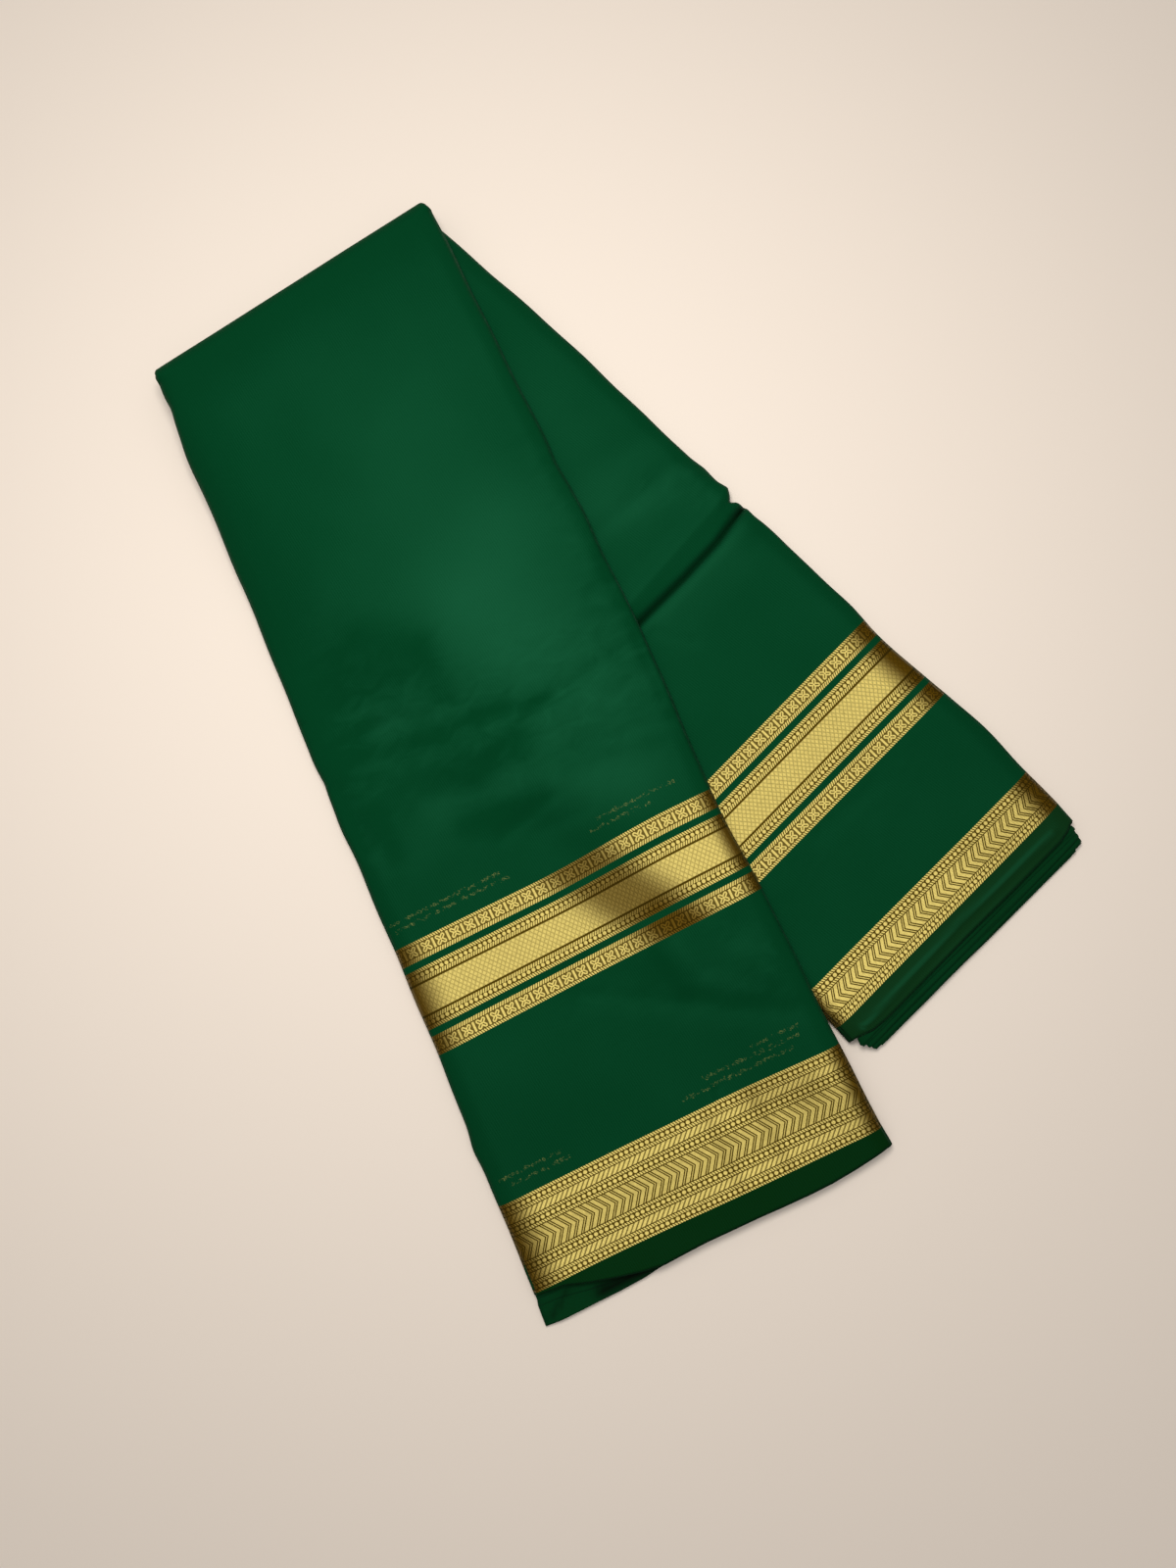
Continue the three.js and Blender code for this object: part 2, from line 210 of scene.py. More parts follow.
BACK_PAINTED_SHADING = [
    ("light of the upper part", (-40, 196), (0, 140), 0.13, 34),
    ("light above the crease", (-18, 130), (44, 150), 0.16, 12),
    ("light below the crease", (30, 74), (64, 110), 0.22, 15),
    ("dark at the right edge", (44, 172), (62, 156), -0.14, 8),
    ("dark above the crease", (8, 70), (38, 100), (73, 142), -0.1, 4.2),
    ("line of the crease", (12, 67), (41, 96), (60, 117), (78, 142), -1.05, 1.5),
    ("soft fold near the end", (139, -164), (196, -104), (250, -54), 1.2, 1.1),
]

# Painted shadow in the gaps between the layer ends, where the top layer lifts, and in the fold at the
# corner: the points of a line, strength, half width.
END_GAP_SHADOWS = [
    ("under the top layer's edge", (-8, -309), (12, -300), (44, -285), 1.0, 4.5),
    ("below the corner of the border", (-44, -296), (-22, -303), 0.4, 4),
    ("dark fold at the corner", (-27, -309), (-36, -324), 0.5, 1.6),
]

# Crumpled places, where the painted light and shade break up into small creases: the points of a line,
# strength, half width.
FRONT_CRUMPLE_SHADING = [
    ("across the middle", (-150, 20), (-70, 0), (0, 40), 1.0, 42),
    ("at the left edge", (-160, -10), (-140, -60), 0.5, 18),
    ("below the triple band", (40, -100), (90, -125), 0.45, 22),
    ("above the broad border", (-20, -150), (90, -150), 0.35, 18),
    ("along the right edge", (-40, 170), (-4, 90), 0.5, 16),
]
BACK_CRUMPLE_SHADING = [
    ("above the crease", (20, 150), (60, 155), 0.5, 20),
    ("across the gap", (90, -70), (150, -10), 0.3, 30),
]

# Painted shade on the gold and its ground, where the cloth leans away from the light there: the points of a
# line as lengths along the stripes and distances from the end, strength, half width.
FRONT_BAND_SHADE = [
    ("across the triple band", (8, 240), (68, 146), 0.84, 20),
    ("its darkest part", (50, 172), (64, 158), 0.14, 12),
    ("upper part of the broad border", (50, 62), (80, 53), 0.2, 10),
    ("pinch across the broad border", (51, 16), (51, 64), 0.18, 4),
    ("faint pinch across the broad border", (22, 18), (23, 62), 0.16, 4),
]
BACK_BAND_SHADE = [
    ("right part of the narrow border", (38, 26), (62, 26), 0.12, 14),
]
# Painted shade on the gold of the long sides, which roll down away from the light: where that ends from the
# side, and where it begins.
SIDE_BAND_SHADE = {"front": ((-2, 21), (-1, 10)), "back": ((-3, 10), (3, 18))}
# Painted shade along the long sides of the plain cloth, where they roll down: strength and width.
SIDE_SHADE, SIDE_SHADE_WIDTH = 0.2, 9.0
# Slopes that rise to the lower right look lighter: how much, at most how much, and over which step.
SLOPE_LIGHT, SLOPE_MOST, SLOPE_STEP = 0.4, 0.08, 1.6

# Small irregularities of the long edges, by leg and hand: distance from the end, offset outwards,
# half width.
EDGE_BUMPS = {
    ("front", -1): [
        (330, -0.5, 5), (345, 0.5, 9), (380, 0.8, 180), (546, 1.4, 16), (103, 1.6, 10),
        (300, 0.7, 12), (576, -0.9, 6),
    ],
    ("front", 1): [
        (430, -0.8, 10), (395, 0.6, 12), (150, 0.7, 26),
    ],
    ("back", -1): [],
    ("back", 1): [
        (262, -1.6, 1.5), (269, 1.4, 5), (288, 0.8, 7), (256, 2.2, 6), (240, 2.4, 16),
        (208, 3.3, 28), (176, 1.4, 14), (30, 1.4, 20), (74, 3.4, 30), (425, 2.5, 110),
    ],
}


def rise(x):
    """A smooth step from 0 to 1."""
    x = np.clip(x, 0.0, 1.0)
    return x * x * (3 - 2 * x)


def unit(vector):
    return vector / np.linalg.norm(vector)


def middle_of(row):
    return (np.array(row[1]) + np.array(row[2])) / 2


class Leg:
    """One leg: its two edges by the distance from its end, measured across the stripes."""

    def __init__(self, name, rows, zero, stripe, thinning, run, furrows, shades):
        self.name = name
        self.haze, self.crumple, self.band_shade = shades
        self.stripe = stripe
        self.thinning = thinning
        self.run = run
        self.furrows = furrows
        across = np.array([stripe[1], -stripe[0]])
        origin = middle_of(next(row for row in rows if row[0] == zero))
        self.origin = origin
        self.at = {row[0]: float((origin - middle_of(row)) @ across) for row in rows}
        ordered = sorted(rows, key=lambda row: self.at[row[0]])
        self.stations = np.array([self.at[row[0]] for row in ordered])
        self.left = np.array([row[1] for row in ordered])
        self.right = np.array([row[2] for row in ordered])
        self.axis = unit(middle_of(rows[-1]) - middle_of(rows[0]))
        self.start = middle_of(rows[0])

    def edge(self, points, distance):
        """Point of an edge at a distance from the end."""
        return (np.interp(distance, self.stations, points[:, axis]) for axis in (0, 1))

    def crossing(self, distance):
        """Middle, direction and width of the line from edge to edge at a distance from the end."""
        left_x, left_y = self.edge(self.left, distance)
        right_x, right_y = self.edge(self.right, distance)
        span_x, span_y = right_x - left_x, right_y - left_y
        width = np.hypot(span_x, span_y)
        return (left_x + right_x) / 2, (left_y + right_y) / 2, span_x / width, span_y / width, width

    def thickness(self, x, y):
        along = (x - self.start[0]) * self.axis[0] + (y - self.start[1]) * self.axis[1]
        return FOLD_THICKNESS - self.thinning * np.clip((along - EVEN_RUN) / self.run, 0, 1)


FRONT = Leg("front", FRONT_EDGES, "end", FRONT_STRIPE, FRONT_THINNING, FRONT_RUN, FRONT_FURROWS,
            (FRONT_PAINTED_SHADING, FRONT_CRUMPLE_SHADING, FRONT_BAND_SHADE))
BACK = Leg("back", BACK_EDGES, "top layer end", BACK_STRIPE, BACK_THINNING, BACK_RUN, BACK_FURROWS,
           (BACK_PAINTED_SHADING, BACK_CRUMPLE_SHADING, BACK_BAND_SHADE))

FOLD_LEFT, FOLD_RIGHT = (np.array(point) for point in FRONT_EDGES[0][1:])
FOLD_LINE = unit(FOLD_RIGHT - FOLD_LEFT)
FOLD_OUT = np.array([-FOLD_LINE[1], FOLD_LINE[0]])
BACK_END_LEFT, BACK_END_RIGHT = (np.array(point) for point in BACK_EDGES[-1][1:])
BACK_SIDE = unit(BACK_END_LEFT - FOLD_LEFT)
BACK_END_LINE = unit(BACK_END_RIGHT - BACK_END_LEFT)


def away_from(start, end, x, y):
    """Distance of (x, y) from the line between two points."""
    span_x, span_y = end[0] - start[0], end[1] - start[1]
    along = ((x - start[0]) * span_x + (y - start[1]) * span_y) / (span_x**2 + span_y**2)
    along = np.clip(along, 0, 1)
    return np.hypot(x - start[0] - along * span_x, y - start[1] - along * span_y)


def furrowed(table, x, y, flat_top=2):
    """Sum at (x, y) of every row of a table, each fading away from its line. A high flat_top fades late."""
    height = np.zeros_like(x)
    for _, *line, rise_by, width in table:
        away = np.min([away_from(*ends, x, y) for ends in zip(line, line[1:])], axis=0)
        height += rise_by * np.exp(-((away / width) ** flat_top))
    return height


# Long, low waves of the cloth: direction in degrees, wave length, height.
WAVES = [(12, 173, 0.26), (71, 121, 0.22), (128, 87, 0.16), (33, 59, 0.1), (98, 43, 0.07), (151, 31, 0.05)]
WAVE_SHIFT = 1.7  # radians from one wave to the next


def wavy(x, y):
    """Sum of the long, low waves at (x, y)."""
    height = np.zeros_like(x)
    for index, (direction, length, size) in enumerate(WAVES):
        angle = math.radians(direction)
        along = x * math.cos(angle) + y * math.sin(angle)
        height += size * np.sin(along * math.tau / length + WAVE_SHIFT * index)
    return height


def front_base(x, y):
    """Underside of the front leg: on the back leg, and coming down to the table beyond it."""
    beyond_side = (x - FOLD_LEFT[0]) * BACK_SIDE[1] - (y - FOLD_LEFT[1]) * BACK_SIDE[0]
    beyond_end = (x - BACK_END_LEFT[0]) * BACK_END_LINE[1] - (y - BACK_END_LEFT[1]) * BACK_END_LINE[0]
    beyond = np.hypot(np.maximum(0, beyond_side), np.maximum(0, beyond_end))
    return (BACK.thickness(x, y) + LEG_GAP) * (1 - rise(beyond / DRAPE_RUN))


# Ripples of the long edges: height, length for one radian, shift by the hand.
EDGE_RIPPLES = [(0.22, 9.0, 1), (0.18, 23.0, 2)]


def edge_offset(leg, hand, distance):
    """How far an edge stands out from its smooth line."""
    offset = sum(size * np.sin(distance / length + shift * hand) for size, length, shift in EDGE_RIPPLES)
    for at, out, width in EDGE_BUMPS[leg.name, hand]:
        offset = offset + out * np.exp(-(((distance - at) / width) ** 2))
    return offset


# Grooves between the folded layers on a long side: angle down the side in degrees, depth, half width.
SIDE_GROOVES = [(38, 0.75, 6), (8, 1.1, 6), (-20, 0.9, 6), (-46, 1.0, 7)]
GROOVE_WANDER, GROOVE_RUN, GROOVE_RUN_MORE = 5, 31.0, 7  # degrees up and down, and over which lengths


def side_reach(distance, angle, inset):
    """How far the long side reaches out beyond the flat of the pack, at an angle down the side."""
    reach = (SIDE_ROLL - inset) * np.cos(np.radians(angle))
    for index, (at, deep, wide) in enumerate(SIDE_GROOVES):
        run = GROOVE_RUN + GROOVE_RUN_MORE * index
        wander = at + GROOVE_WANDER * np.sin(distance / run + index)
        reach = reach - deep * np.exp(-(((angle - wander) / wide) ** 2)) * (inset < LAYER_INSET)
    return reach


def pack_points(leg, distance, spread, hand, angle, inset):
    """Points of a leg, (rows, columns, 3).

    spread runs from -1 to 1 over the flat, and hand says which long side a column is on, or 0.
    angle is 90 on the outside of the fold, -90 on the inside and between them on a long side.
    """
    middle_x, middle_y, along_x, along_y, width = leg.crossing(distance)
    flat = width / 2 - SIDE_ROLL
    bumps = np.where(spread < 0, edge_offset(leg, -1, distance), edge_offset(leg, 1, distance))
    out = hand * side_reach(distance, angle, inset) + spread**3 * bumps
    reach = spread * flat + out
    x, y = middle_x + reach * along_x, middle_y + reach * along_y
    depth = 0.5 + (0.5 - inset / FOLD_THICKNESS) * np.sin(np.radians(angle))
    near_side = np.clip((np.abs(reach) - flat + EDGE_DROOP_WIDTH) / (EDGE_DROOP_WIDTH + SIDE_ROLL), 0, 1)
    relief = furrowed(leg.furrows, x, y) + wavy(x, y) - EDGE_DROOP * near_side**2
    if leg.name == "front":
        z = front_base(x, y) + depth * (leg.thickness(x, y) + relief)
    else:
        dents = furrowed(UNDER_FURROWS, x, y)
        z = (1 - depth) * (leg.thickness(x, y) + relief) + depth * dents
    return np.stack([x, y, z], axis=-1)


def turn_points(turn, spread, hand, angle, inset):
    """Points of the turned fold. turn is 90 degrees on top of the front leg and -90 under the back leg."""
    width = np.linalg.norm(FOLD_RIGHT - FOLD_LEFT)
    flat = width / 2 - SIDE_ROLL
    distance = FRONT.at["fold"] + np.zeros_like(turn)
    reach_side = spread * flat + hand * side_reach(distance, angle, inset)
    depth = 0.5 + (0.5 - inset / FOLD_THICKNESS) * np.sin(np.radians(angle))
    radius = LEG_GAP / 2 + depth * FOLD_THICKNESS
    reach = FOLD_REACH * radius * np.cos(np.radians(turn))
    middle = (FOLD_LEFT + FOLD_RIGHT) / 2
    x = middle[0] + reach_side * FOLD_LINE[0] + reach * FOLD_OUT[0]
    y = middle[1] + reach_side * FOLD_LINE[1] + reach * FOLD_OUT[1]
    relief = wavy(x, y) * depth
    upwards = np.sin(np.radians(turn))
    z = FOLD_THICKNESS + LEG_GAP / 2 + (radius + relief * upwards) * upwards
    return np.stack([x, y, np.maximum(z, 0.0)], axis=-1)


def loop_columns(outside, side, inside):
    """Columns round the pack: over the outside left to right, down, back along the inside, and up."""
    over = np.linspace(-1, 1, outside, endpoint=False)
    down = np.linspace(90, -90, side, endpoint=False)
    under = np.linspace(1, -1, inside, endpoint=False)
    spread = np.concatenate([over, np.ones(side), under, -np.ones(side)])
    hand = np.concatenate([np.zeros(outside), np.ones(side), np.zeros(inside), -np.ones(side)])
    angle = np.concatenate([np.full(outside, 90.0), down, np.full(inside, -90.0), -down])
    return spread[None, :], hand[None, :], angle[None, :]


def arc_lengths(points, start_column):
    """Distance round each row of a loop, zero at the start column. One column more than the loop has."""
    closed = np.concatenate([points, points[:, :1]], axis=1)
    steps = np.linalg.norm(np.diff(closed, axis=1), axis=-1)
    total = np.concatenate([np.zeros((len(points), 1)), np.cumsum(steps, axis=1)], axis=1)
    return total - total[:, start_column : start_column + 1]


def placed(name, data):
    """A new object in the scene."""
    piece = bpy.data.objects.new(name, data)
    bpy.context.scene.collection.objects.link(piece)
    return piece


def mesh_object(name, points, faces, uvs=None, shades=None):
    """A smooth mesh from points in millimetres.

    uvs, in millimetres, are given for each face corner, and shades holds numbers for each point.
    """
    mesh = bpy.data.meshes.new(name)
    mesh.from_pydata(((points + SHIFT) * MM).tolist(), [], faces)
    if uvs is not None:
        layer = mesh.uv_layers.new(name="cloth")
        layer.data.foreach_set("uv", (np.asarray(uvs) * MM).astype(np.float32).ravel())
    for shade, values in (shades or {}).items():
        attribute = mesh.attributes.new(shade, "FLOAT", "POINT")
        attribute.data.foreach_set("value", values.astype(np.float32))
    mesh.polygons.foreach_set("use_smooth", [True] * len(mesh.polygons))
    mesh.validate()
    return placed(name, mesh)


def tube_faces(rows, columns):
    """Faces of a grid that closes on itself across, as rows of four corner indices."""
    i, j = np.meshgrid(np.arange(rows - 1), np.arange(columns), indexing="ij")
    after = (j + 1) % columns
    corners = [i * columns + j, (i + 1) * columns + j, (i + 1) * columns + after, i * columns + after]
    return np.stack(corners, axis=-1).reshape(-1, 4)


def tube_uvs(u, v):
    """Face corner UVs of a tube. u has one column more than v, so the last face doesn't run back."""
    v = np.concatenate([v, v[:, :1]], axis=1)
    uv = np.stack([u, v], axis=-1)
    corners = [uv[:-1, :-1], uv[1:, :-1], uv[1:, 1:], uv[:-1, 1:]]
    return np.stack(corners, axis=2).reshape(-1, 2)


def cloth_shades(leg, points, spread, u, v):
    """What the cloth's material needs to know at each point: painted light and shade, painted crumple
    shading, and painted shade on the bands.
    """
    x, y = points[..., 0], points[..., 1]
    inside = (1 - np.abs(spread)) * FLAT_HALF
    # Painted shade on the bands near the long sides.
    left, right = SIDE_BAND_SHADE[leg.name]
    start, run = np.where(spread < 0, left[0], right[0]), np.where(spread < 0, left[1], right[1])
    side = 1 - rise((inside - start) / run)
    # Painted shade along the long sides, where they roll down.
    dark = SIDE_SHADE * (1 - rise(inside / SIDE_SHADE_WIDTH))
    # Painted light and shade by slope: slopes that rise to the lower right are lighter, the others darker.
    behind = furrowed(leg.furrows, x - SLOPE_STEP, y + SLOPE_STEP)
    slope = SLOPE_MOST * np.tanh(SLOPE_LIGHT / SLOPE_MOST * (furrowed(leg.furrows, x, y) - behind))
    band_shade = 1 - (1 - side) * (1 - np.clip(furrowed(leg.band_shade, u, v, flat_top=4), 0, 1))
    return {
        "haze": (furrowed(leg.haze, x, y) + slope - dark).ravel(),
        "crumple": furrowed(leg.crumple, x, y).ravel(),
        "band_shade": band_shade.ravel(),
    }


def cloth_shell(name, leg, rows, columns, end_offset, turned):
    """The outer layer round one leg, as a tube with its open end turned in.

    rows are distances from the leg's end, columns come from loop_columns, and end_offset says how far
    short of the first row the cloth ends at each column. turned are the angles of the turned fold.
    """
    spread, hand, angle = columns
    rows = np.asarray(rows, dtype=float)[:, None]
    distance = rows + end_offset * np.clip(1 - (rows - rows[0]) / END_BLEND, 0, 1)
    turned_in = distance[TURNED_IN:0:-1]
    points = [
        pack_points(leg, turned_in, spread, hand, angle, EDGE_INSET),
        pack_points(leg, distance, spread, hand, angle, 0.0),
    ]
    v = [turned_in, distance]
    if len(turned):
        turn = np.asarray(turned, dtype=float)[:, None]
        points.append(turn_points(turn, spread, hand, angle, 0.0))
        arc = leg.at["fold"] + np.radians(90 - turn) * FOLD_THICKNESS
        v.append(arc + np.zeros_like(distance[:1]))
    points, v = np.concatenate(points), np.concatenate(v)
    outside, direction = (90, 1) if leg.name == "front" else (-90, -1)
    start = int(np.argmin(np.abs(spread[0]) + (angle[0] != outside)))
    centre = points[:, start, :2]
    u = direction * arc_lengths(points, start) + ((centre - leg.origin) @ leg.stripe)[:, None]
    faces = tube_faces(*points.shape[:2])
    shades = cloth_shades(leg, points, spread, u[:, :-1], v)
    return mesh_object(name, points.reshape(-1, 3), faces.tolist(), tube_uvs(u, v), shades)


# Columns round each leg. The front leg's begin in the middle of its underside, so its seam is there.
FRONT_COLUMNS = [
    np.roll(column, SIDE_COLUMNS + UNDER_COLUMNS // 2, axis=1)
    for column in loop_columns(TOP_COLUMNS, SIDE_COLUMNS, UNDER_COLUMNS)
]
BACK_COLUMNS = loop_columns(UNDER_COLUMNS, SIDE_COLUMNS, TOP_COLUMNS)


def rows_between(start, end, fine=()):
    """Distances from an end, ROW_STEP apart, and closer within the fine ranges."""
    rows = list(np.arange(start, end, ROW_STEP)) + [end]
    for low, high in fine:
        rows += list(np.arange(low, high, ROW_STEP / 3))
    return np.unique(np.round(rows, 2))


def trimmed(table, columns):
    """Distance that a table of (share across, trim) takes off the end at each column."""
    share = (1 + columns[0]) / 2
    return np.interp(share, [row[0] for row in table], [row[1] for row in table])


# Share of the way across, and how far the visible top layer ends short of the row it starts from.
FRONT_TRIM = [
    (0.00, 16.5), (0.03, 15.8), (0.07, 15.0), (0.13, 10.2), (0.20, 6.0), (0.27, 2.4), (0.33, 0.2),
    (0.46, 0.7), (0.53, 0.2), (0.61, -0.4), (0.68, -1.3), (0.76, -2.0), (0.83, -2.1), (0.90, -1.2),
    (0.96, 0.3), (1.00, 1.4),
]
# Share of the way across the front leg, and how far its lower layers reach out beyond their straight end.
FRONT_SWELL = [
    (0.00, 2.6), (0.05, 3.5), (0.21, 3.7), (0.28, 3.3), (0.35, 1.7), (0.46, 0.6), (0.53, 0.6),
    (0.61, 1.3), (0.68, 2.4), (0.76, 2.9), (0.83, 3.0), (0.90, 2.2), (0.96, 0.8), (1.00, 0.2),
]
BACK_TRIM = [
    (0.00, 2.0), (0.03, 0.2), (0.06, -2.0), (0.12, -2.8), (0.50, -2.4), (0.94, -2.6), (0.98, -1.4),
    (1.00, 0.0),
]

front_end = np.where(FRONT_COLUMNS[2] < -HIDDEN_ANGLE, HIDDEN_FRONT_TRIM, trimmed(FRONT_TRIM, FRONT_COLUMNS))
front_rows = rows_between(0.0, FRONT.at["fold"])
front_turn = np.arange(90 - TURN_STEP, -90, -TURN_STEP)
front_cloth = cloth_shell("front_cloth", FRONT, front_rows, FRONT_COLUMNS, front_end, front_turn)

back_end = np.where(BACK_COLUMNS[2] > HIDDEN_ANGLE, HIDDEN_BACK_TRIM, trimmed(BACK_TRIM, BACK_COLUMNS))
back_rows = rows_between(0.0, BACK.at["fold"] - FOLD_SHORT, fine=[CREASE_ROWS])
back_cloth = cloth_shell("back_cloth", BACK, back_rows, BACK_COLUMNS, back_end, [])


def core():
    """The rounded solid that stands for the hidden layers, well inside the outer layer."""
    spread, hand, angle = loop_columns(*CORE_COLUMNS)
    front = np.arange(CORE_FRONT, FRONT.at["fold"], CORE_STEP)[:, None]
    back = np.arange(BACK.at["fold"], CORE_BACK, -CORE_STEP)[:, None]
    turn = np.arange(90 - CORE_TURN_STEP, -90, -CORE_TURN_STEP)[:, None]
    points = np.concatenate([
        pack_points(FRONT, front, spread, hand, angle, LAYER_INSET),
        turn_points(turn, spread, hand, angle, LAYER_INSET),
        pack_points(BACK, back, spread, hand, angle, LAYER_INSET),
    ])
    on_top = (angle < 0) & (np.arange(len(points))[:, None] >= len(front) + len(turn))
    lowered = points[..., 2] + on_top * furrowed(CORE_FURROWS, points[..., 0], points[..., 1])
    points[..., 2] = np.maximum(lowered, np.minimum(points[..., 2], CORE_LOW))
    rows, columns = points.shape[:2]
    faces = tube_faces(rows, columns).tolist()
    faces.append(list(range(columns)))
    faces.append([(rows - 1) * columns + j for j in reversed(range(columns))])
    return points.reshape(-1, 3), faces


# Loose ends of the layers inside: share of the height, distance of the end, insets of the left and
# right corner, and on the front leg how much of the top layer's trim the end follows.
FRONT_LAYERS = [
    (0.90, 1.6, 0.6, 2.6, 1.1),
    (0.81, 3.4, 0.8, 3.2, 1.1),
    (0.73, 1.4, 0.4, 1.6, 1.0),
    (0.65, 3.2, 1.0, 3.0, 0.9),
    (0.57, 1.2, 0.6, 1.4, 0.8),
    (0.49, 2.6, 0.4, 2.4, 0.5),
    (0.41, 1.3, 0.0, 1.6, 0.0),
    (0.32, 1.0, -0.4, 2.2, 0.0),
    (0.23, 2.2, 0.2, 1.8, 0.0),
    (0.14, 1.1, 0.0, 2.8, 0.0),
]
BACK_LAYERS = [
    (0.90, -3.4, 3.0, 1.8),
    (0.82, -5.0, 3.2, 2.4),
    (0.73, -8.2, 4.2, 1.4),
    (0.64, -8.9, 4.6, 1.0),
    (0.55, -11.6, 4.8, 0.4),
    (0.46, -12.3, 5.2, 0.8),
    (0.37, -13.0, 9.0, 6.0),
    (0.28, -13.8, 12.4, 9.5),
    (0.19, -14.5, 12.8, 18.5),
    (0.10, -14.8, 13.4, 19.8),
]

# Ripples of a loose end: height, radians from the middle to a side, share of the layer's number.
LAYER_RIPPLES = [(0.35, 3.1, 1), (0.15, 7.7, 2)]
LIFT_TURNS, LIFT_SHARE = 4.3, 1.9  # the same for the waves that lift it
BACK_NUMBER = 20  # of the back leg's first layer
LOW_TRIM = 4.0  # where the top layer is trimmed by more, more of those below shows
TABLE_GAP = 0.05  # between the lowest layer and the table


def layer_slab(leg, number, height, end, left_inset, right_inset, trim=0.0):
    """One loose layer end, a thin slab drawn back into the pack, from a row of its leg's table."""
    columns = np.linspace(-1, 1, LAYER_COLUMNS)[None, :]
    ragged = sum(size * np.sin(columns * turns + share * number) for size, turns, share in LAYER_RIPPLES)
    start = end + ragged + trim * trimmed(FRONT_TRIM, (columns,))
    if leg.name == "front":
        start = start - (1 - trim) * trimmed(FRONT_SWELL, (columns,))
    steps = np.concatenate([[0.0, 1.0], np.arange(LAYER_STEP, LAYER_DEPTH, LAYER_STEP)])[:, None]
    distance = start + steps
    middle_x, middle_y, along_x, along_y, width = leg.crossing(distance)
    rounding = SIDE_ROLL * (1 - math.sqrt(max(0.0, 1 - (2 * height - 1) ** 2)))
    shown = 1.0 + (leg.name == "front") * np.maximum(0.0, trimmed(FRONT_TRIM, (columns,)) - LOW_TRIM)
    inwards = (LAYER_INSET + rounding) * rise((steps - shown) / LAYER_TUCK)
    low, high = left_inset + inwards, right_inset + inwards
    reach = np.where(columns < 0, columns * (width / 2 - low), columns * (width / 2 - high))
    x, y = middle_x + reach * along_x, middle_y + reach * along_y
    wave = np.sin(columns * LIFT_TURNS + LIFT_SHARE * number)
    lift = LAYER_LIFT * wave * np.exp(-steps / LAYER_LIFT_RUN)
    body = leg.thickness(x, y) + furrowed(leg.furrows, x, y)
    near_side = np.clip((np.abs(reach) - width / 2 + EDGE_DROOP_WIDTH) / EDGE_DROOP_WIDTH, 0, 1)
    body = body - EDGE_DROOP * near_side**2
    base = front_base(x, y) if leg.name == "front" else 0.0
    top = np.stack([x, y, base + np.maximum(height * body + lift, LAYER_THICKNESS + TABLE_GAP)], axis=-1)
    bottom = top - np.array([0.0, 0.0, LAYER_THICKNESS])
    rows, count = top.shape[:2]
    points = np.concatenate([top, bottom[:, ::-1]], axis=1)
    faces = tube_faces(rows, 2 * count).tolist()
    for row in (0, rows - 1):
        ring = [row * 2 * count + j for j in range(2 * count)]
        for j in range(count - 1):
            face = [ring[j], ring[j + 1], ring[2 * count - 2 - j], ring[2 * count - 1 - j]]
            faces.append(face if row == 0 else face[::-1])
    return points.reshape(-1, 3), faces


def join_shapes(shapes):
    """Points and faces of several shapes as one list each."""
    points, faces, offset = [], [], 0
    for shape_points, shape_faces in shapes:
        points.append(shape_points)
        faces += [[index + offset for index in face] for face in shape_faces]
        offset += len(shape_points)
    return np.concatenate(points), faces


layer_shapes = [core()]
for leg, table, first in ((FRONT, FRONT_LAYERS, 0), (BACK, BACK_LAYERS, BACK_NUMBER)):
    layer_shapes += [layer_slab(leg, number, *row) for number, row in enumerate(table, first)]
layer_points, layer_faces = join_shapes(layer_shapes)
# Painted shadow on the layer ends, where little light reaches under the top layer.
gap_shadows = furrowed(END_GAP_SHADOWS, layer_points[:, 0], layer_points[:, 1])
hidden_layers = mesh_object("hidden_layers", layer_points, layer_faces, shades={"gap": gap_shadows})


class Field:
    """A number worked out by shader nodes at each point of a surface."""

    tree = None

    def __init__(self, socket):
        self.socket = socket

    @classmethod
    def made(cls, operation, *values):
        node = cls.tree.nodes.new("ShaderNodeMath")
        node.operation = operation
        for slot, value in zip(node.inputs, values):
            if isinstance(value, Field):
                cls.tree.links.new(value.socket, slot)
            else:
                slot.default_value = value
        return cls(node.outputs[0])

    def __add__(self, other):
        return self.made("ADD", self, other)

    def __sub__(self, other):
        return self.made("SUBTRACT", self, other)

    def __rsub__(self, other):
        return self.made("SUBTRACT", other, self)

    def __mul__(self, other):
        return self.made("MULTIPLY", self, other)

    def __truediv__(self, other):
        return self.made("DIVIDE", self, other)

    def __lt__(self, other):
        return self.made("LESS_THAN", self, other)

    def __gt__(self, other):
        return self.made("GREATER_THAN", self, other)

    def __abs__(self):
        return self.made("ABSOLUTE", self)

    def fract(self):
        return self.made("FRACT", self)

    def cos(self):
        return self.made("COSINE", self)

    def clamped(self):
        return self.made("MINIMUM", self.made("MAXIMUM", self, 0.0), 1.0)

    def between(self, low, high):
        return (self > low) * (self < high)

    def smooth(self, low, high):
        share = ((self - low) / (high - low)).clamped()
        return share * share * (3.0 - share * 2.0)


def total(fields):
    return functools.reduce(operator.add, fields)


def smaller(one, other):
    return Field.made("MINIMUM", one, other)


def larger(one, other):
    return Field.made("MAXIMUM", one, other)


